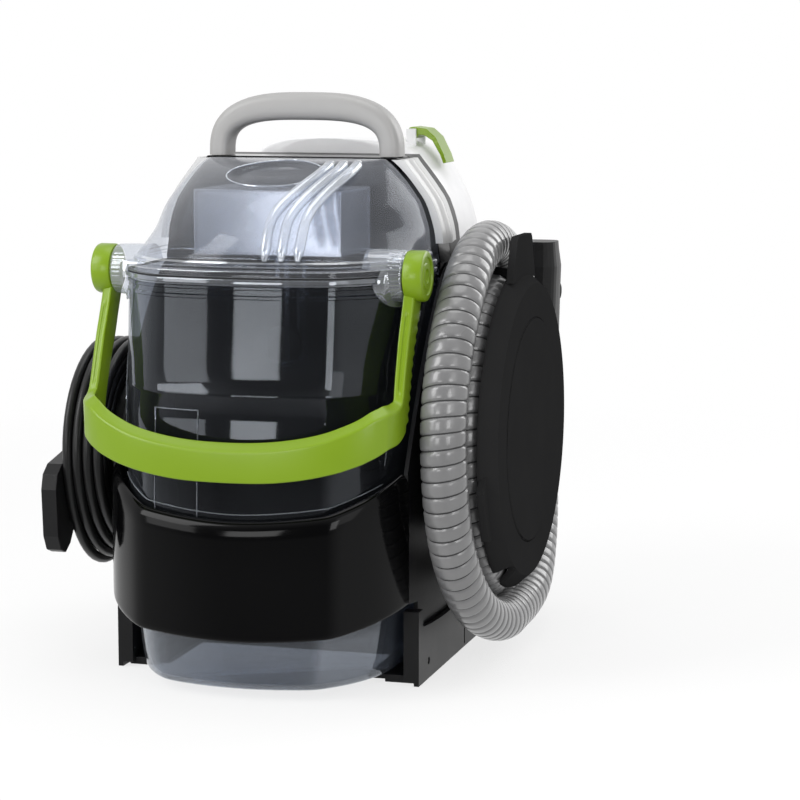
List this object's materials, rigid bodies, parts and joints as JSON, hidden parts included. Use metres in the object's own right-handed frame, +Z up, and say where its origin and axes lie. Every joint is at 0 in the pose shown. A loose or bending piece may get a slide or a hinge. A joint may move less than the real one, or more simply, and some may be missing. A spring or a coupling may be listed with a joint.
{
  "type": "portable spot extractor",
  "caption": "Portable spot extractor: domed clear dirty tank with bail handle, carry handle, rear clean tank, hose wound on a side rack and mains lead wound on a side drum.",
  "frame": {"origin": "on the floor, in the middle plane of the body, 8 mm in front of the tower that carries the handle", "axes": "+Z up, -Y towards the front of the machine where the dirty water tank is, +X to the right seen from the front, towards the hose rack"},
  "size_m": [0.31, 0.3735, 0.3863],
  "materials": {
    "satin_black": "satin moulded plastic",
    "gloss_black": "piano black, polished",
    "matt_black": "fine matt texture",
    "silver_grey": "satin painted",
    "grey_plastic": "plain",
    "hose_grey": "satin, corrugated",
    "rubber_black": "matt",
    "lime": "polished",
    "smoke_clear": "transparent smoke tint",
    "clear": "transparent",
    "screw_steel": "zinc plated",
    "motor_metal": "drawn"
  },
  "bodies": {
    "body": {"base_frame": "satin_black", "rubber_feet": "rubber_black", "rear_housing": "satin_black", "tower_front_shell": "gloss_black", "tower_rear_shell": "satin_black", "side_panel_right": "satin_black", "side_panel_left": "satin_black", "front_band": "gloss_black", "case_screws": "screw_steel", "carry_handle": "silver_grey", "handle_back": "silver_grey", "trim_arch": "silver_grey", "rack_drum": "matt_black", "rack_disc": "matt_black", "rack_cover": "matt_black", "rack_screws": "screw_steel", "hose_port": "matt_black", "hose": "hose_grey", "hose_cuffs": "matt_black", "inlet_pipe": "matt_black", "grip_left": "matt_black", "grip_right": "matt_black", "trigger_mount": "matt_black", "grip_clip": "matt_black", "stain_tool": "smoke_clear", "tool_bristles": "rubber_black", "tool_clip": "matt_black", "cord_drum": "satin_black", "cord_hook_rear": "satin_black", "cord_coil": "rubber_black", "cord_lead": "rubber_black", "cord_tail": "rubber_black", "plug": "rubber_black", "strain_relief": "rubber_black", "motor_can": "motor_metal", "motor_mounts": "rubber_black", "fan_housing": "satin_black", "air_duct": "matt_black", "pump": "matt_black", "pump_tube": "clear", "dock_cup": "matt_black", "switch_frame": "gloss_black", "exhaust_grille": "matt_black"},
    "dirty_tank": {"tank_shell": "smoke_clear", "tank_lid": "clear", "lid_gasket": "rubber_black", "lid_ribs": "clear", "separator": "clear", "float_cage": "clear", "bail_ears": "clear"},
    "bail": {"bail": "lime"},
    "float": {"float_ball": "lime"},
    "clean_tank": {"clean_tank": "clear"},
    "clean_cap": {"clean_cap": "matt_black"},
    "clean_latch": {"clean_latch": "lime"},
    "switch_rocker": {"switch_rocker": "matt_black"},
    "trigger": {"trigger": "lime"},
    "cord_hook": {"cord_hook_front": "satin_black"},
    "fan": {"impeller": "grey_plastic", "fan_shaft": "motor_metal"}
  },
  "joints": [
    {"name": "dirty_tank_lift", "type": "slide", "parent": "body", "child": "dirty_tank", "axis": [0, 0, 1], "range_m": [0, 0.18]},
    {"name": "bail_swing", "type": "hinge", "parent": "dirty_tank", "child": "bail", "pos_m": [0, -0.0774, 0.2717], "axis": [-1, 0, 0], "range_deg": [0, 150]},
    {"name": "float_rise", "type": "slide", "parent": "dirty_tank", "child": "float", "axis": [0, 0, 1], "range_m": [0, 0.03]},
    {"name": "clean_tank_lift", "type": "slide", "parent": "body", "child": "clean_tank", "axis": [0, 0, 1], "range_m": [0, 0.12]},
    {"name": "clean_cap_turn", "type": "hinge", "parent": "clean_tank", "child": "clean_cap", "pos_m": [0, 0.13325, 0.15], "axis": [0, 0, 1], "range_deg": [0, 90]},
    {"name": "clean_latch_turn", "type": "hinge", "parent": "clean_tank", "child": "clean_latch", "pos_m": [0.05, 0.122, 0.356], "axis": [0, -1, 0], "range_deg": [0, 35], "stiffness_Nm_per_rad": 0.05},
    {"name": "power_rocker", "type": "hinge", "parent": "body", "child": "switch_rocker", "pos_m": [0.052, 0.194, 0.112], "axis": [1, 0, 0], "range_deg": [0, 12]},
    {"name": "trigger_pull", "type": "hinge", "parent": "body", "child": "trigger", "pos_m": [0.126, 0.2095, 0.236], "axis": [-1, 0, 0], "range_deg": [0, 12], "stiffness_Nm_per_rad": 0.3},
    {"name": "cord_hook_turn", "type": "hinge", "parent": "body", "child": "cord_hook", "pos_m": [-0.1375, -0.048, 0.131], "axis": [-1, 0, 0], "range_deg": [0, 180]},
    {"name": "fan_spin", "type": "hinge", "parent": "body", "child": "fan", "pos_m": [0, 0.132, 0.06], "axis": [0, 0, 1], "continuous": true}
  ]
}
